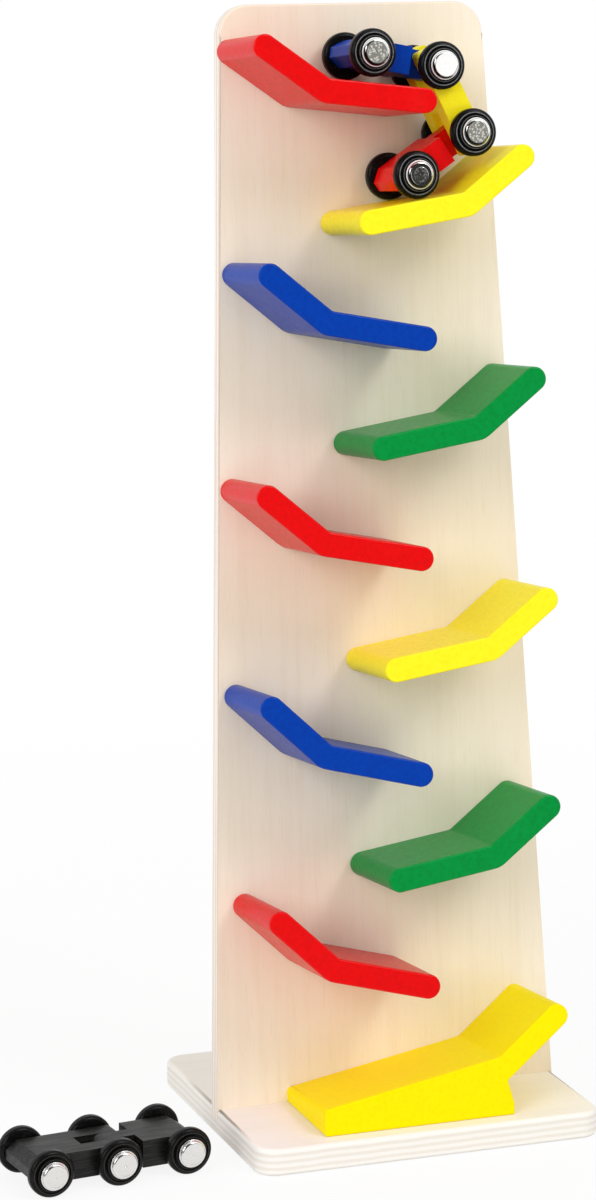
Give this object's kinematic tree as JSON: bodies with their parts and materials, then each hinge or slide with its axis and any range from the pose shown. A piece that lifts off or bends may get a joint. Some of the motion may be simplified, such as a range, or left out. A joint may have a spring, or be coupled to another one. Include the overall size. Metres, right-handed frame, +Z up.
{
  "type": "click clack track toy",
  "caption": "Leaning wooden tower of bent ramps that alternate left and right, with a hinged wheeled train tumbling down it and a shorter train on the floor beside it.",
  "frame": {"origin": "centre of the base plate's underside, on the floor", "axes": "+X to the right along the base and panel, +Y away from the player through the panel, +Z up"},
  "size_m": [0.2721, 0.142, 0.5059],
  "materials": {
    "base_ply": "fine sanded plywood, clear matt",
    "panel_ply": "birch plywood, clear satin",
    "red_paint": "satin paint on wood",
    "yellow_paint": "satin paint on wood",
    "blue_paint": "satin paint on wood",
    "green_paint": "satin paint on wood",
    "black_stain": "black stain with the grain showing",
    "wheel_black": "satin black",
    "cap_metal": "polished",
    "rod_steel": "drawn",
    "screw_steel": "zinc plated"
  },
  "bodies": {
    "tower": {"base_plate": "base_ply", "back_panel": "panel_ply", "exit_ramp": "yellow_paint", "ramp_screws": "screw_steel", "base_screws": "screw_steel", "ramp_1_red": "red_paint", "ramp_2_yellow": "yellow_paint", "ramp_3_blue": "blue_paint", "ramp_4_green": "green_paint", "ramp_5_red": "red_paint", "ramp_6_yellow": "yellow_paint", "ramp_7_blue": "blue_paint", "ramp_8_green": "green_paint", "ramp_9_red": "red_paint"},
    "red_car": {"red_body": "red_paint", "coloured_axle_4": "rod_steel", "coloured_caps_4": "cap_metal"},
    "yellow_car": {"yellow_body": "yellow_paint", "coloured_axle_2": "rod_steel", "coloured_caps_2": "cap_metal", "coloured_axle_3": "rod_steel", "coloured_caps_3": "cap_metal"},
    "blue_car": {"blue_body": "blue_paint", "coloured_axle_1": "rod_steel", "coloured_caps_1": "cap_metal"},
    "black_rear_car": {"black_rear_body": "black_stain", "black_axle_1": "rod_steel", "black_caps_1": "cap_metal", "black_axle_2": "rod_steel", "black_caps_2": "cap_metal"},
    "black_front_car": {"black_front_body": "black_stain", "black_axle_3": "rod_steel", "black_caps_3": "cap_metal"},
    "coloured_wheel_1_near": {"coloured_wheel_1_near": "wheel_black"},
    "coloured_wheel_1_far": {"coloured_wheel_1_far": "wheel_black"},
    "coloured_wheel_2_near": {"coloured_wheel_2_near": "wheel_black"},
    "coloured_wheel_2_far": {"coloured_wheel_2_far": "wheel_black"},
    "coloured_wheel_3_near": {"coloured_wheel_3_near": "wheel_black"},
    "coloured_wheel_3_far": {"coloured_wheel_3_far": "wheel_black"},
    "coloured_wheel_4_near": {"coloured_wheel_4_near": "wheel_black"},
    "coloured_wheel_4_far": {"coloured_wheel_4_far": "wheel_black"},
    "black_wheel_1_near": {"black_wheel_1_near": "wheel_black"},
    "black_wheel_1_far": {"black_wheel_1_far": "wheel_black"},
    "black_wheel_2_near": {"black_wheel_2_near": "wheel_black"},
    "black_wheel_2_far": {"black_wheel_2_far": "wheel_black"},
    "black_wheel_3_near": {"black_wheel_3_near": "wheel_black"},
    "black_wheel_3_far": {"black_wheel_3_far": "wheel_black"}
  },
  "joints": [
    {"name": "train_lift_out", "type": "slide", "parent": "tower", "child": "red_car", "axis": [0, -0.9947, 0.1028], "range_m": [0, 0.12]},
    {"name": "red_yellow_hinge", "type": "hinge", "parent": "red_car", "child": "yellow_car", "pos_m": [0.04, 0.00966, 0.44883], "axis": [0, 0.9947, -0.1028], "range_deg": [0, 80]},
    {"name": "yellow_blue_hinge", "type": "hinge", "parent": "yellow_car", "child": "blue_car", "pos_m": [0.02592, 0.01271, 0.47829], "axis": [0, 0.9947, -0.1028], "range_deg": [0, 150]},
    {"name": "black_train_roll", "type": "slide", "parent": "tower", "child": "black_rear_car", "axis": [0.9934, 0.1149, 0], "range_m": [-0.12, 0.014]},
    {"name": "black_hinge", "type": "hinge", "parent": "black_rear_car", "child": "black_front_car", "pos_m": [-0.1444, -0.0392, 0.0106], "axis": [0.1149, -0.9934, 0], "range_deg": [0, 110]},
    {"name": "coloured_wheel_1_near_spin", "type": "hinge", "parent": "blue_car", "child": "coloured_wheel_1_near", "pos_m": [-0.00628, 0.01335, 0.48452], "axis": [0, 0.9947, -0.1028], "continuous": true},
    {"name": "coloured_wheel_1_far_spin", "type": "hinge", "parent": "blue_car", "child": "coloured_wheel_1_far", "pos_m": [-0.00628, 0.01335, 0.48452], "axis": [0, 0.9947, -0.1028], "continuous": true},
    {"name": "coloured_wheel_2_near_spin", "type": "hinge", "parent": "yellow_car", "child": "coloured_wheel_2_near", "pos_m": [0.02592, 0.01271, 0.47829], "axis": [0, 0.9947, -0.1028], "continuous": true},
    {"name": "coloured_wheel_2_far_spin", "type": "hinge", "parent": "yellow_car", "child": "coloured_wheel_2_far", "pos_m": [0.02592, 0.01271, 0.47829], "axis": [0, 0.9947, -0.1028], "continuous": true},
    {"name": "coloured_wheel_3_near_spin", "type": "hinge", "parent": "yellow_car", "child": "coloured_wheel_3_near", "pos_m": [0.04, 0.00966, 0.44883], "axis": [0, 0.9947, -0.1028], "continuous": true},
    {"name": "coloured_wheel_3_far_spin", "type": "hinge", "parent": "yellow_car", "child": "coloured_wheel_3_far", "pos_m": [0.04, 0.00966, 0.44883], "axis": [0, 0.9947, -0.1028], "continuous": true},
    {"name": "coloured_wheel_4_near_spin", "type": "hinge", "parent": "red_car", "child": "coloured_wheel_4_near", "pos_m": [0.01248, 0.00783, 0.43107], "axis": [0, 0.9947, -0.1028], "continuous": true},
    {"name": "coloured_wheel_4_far_spin", "type": "hinge", "parent": "red_car", "child": "coloured_wheel_4_far", "pos_m": [0.01248, 0.00783, 0.43107], "axis": [0, 0.9947, -0.1028], "continuous": true},
    {"name": "black_wheel_1_near_spin", "type": "hinge", "parent": "black_rear_car", "child": "black_wheel_1_near", "pos_m": [-0.17698, -0.04297, 0.0106], "axis": [-0.1149, 0.9934, 0], "continuous": true},
    {"name": "black_wheel_1_far_spin", "type": "hinge", "parent": "black_rear_car", "child": "black_wheel_1_far", "pos_m": [-0.17698, -0.04297, 0.0106], "axis": [-0.1149, 0.9934, 0], "continuous": true},
    {"name": "black_wheel_2_near_spin", "type": "hinge", "parent": "black_rear_car", "child": "black_wheel_2_near", "pos_m": [-0.1444, -0.0392, 0.0106], "axis": [-0.1149, 0.9934, 0], "continuous": true},
    {"name": "black_wheel_2_far_spin", "type": "hinge", "parent": "black_rear_car", "child": "black_wheel_2_far", "pos_m": [-0.1444, -0.0392, 0.0106], "axis": [-0.1149, 0.9934, 0], "continuous": true},
    {"name": "black_wheel_3_near_spin", "type": "hinge", "parent": "black_front_car", "child": "black_wheel_3_near", "pos_m": [-0.11182, -0.03543, 0.0106], "axis": [-0.1149, 0.9934, 0], "continuous": true},
    {"name": "black_wheel_3_far_spin", "type": "hinge", "parent": "black_front_car", "child": "black_wheel_3_far", "pos_m": [-0.11182, -0.03543, 0.0106], "axis": [-0.1149, 0.9934, 0], "continuous": true}
  ],
  "couplings": [
    {"joint": "black_wheel_1_near_spin", "follows": "black_train_roll", "rad_per_m": 94.34},
    {"joint": "black_wheel_1_far_spin", "follows": "black_train_roll", "rad_per_m": 94.34},
    {"joint": "black_wheel_2_near_spin", "follows": "black_train_roll", "rad_per_m": 94.34},
    {"joint": "black_wheel_2_far_spin", "follows": "black_train_roll", "rad_per_m": 94.34},
    {"joint": "black_wheel_3_near_spin", "follows": "black_train_roll", "rad_per_m": 94.34},
    {"joint": "black_wheel_3_far_spin", "follows": "black_train_roll", "rad_per_m": 94.34}
  ]
}
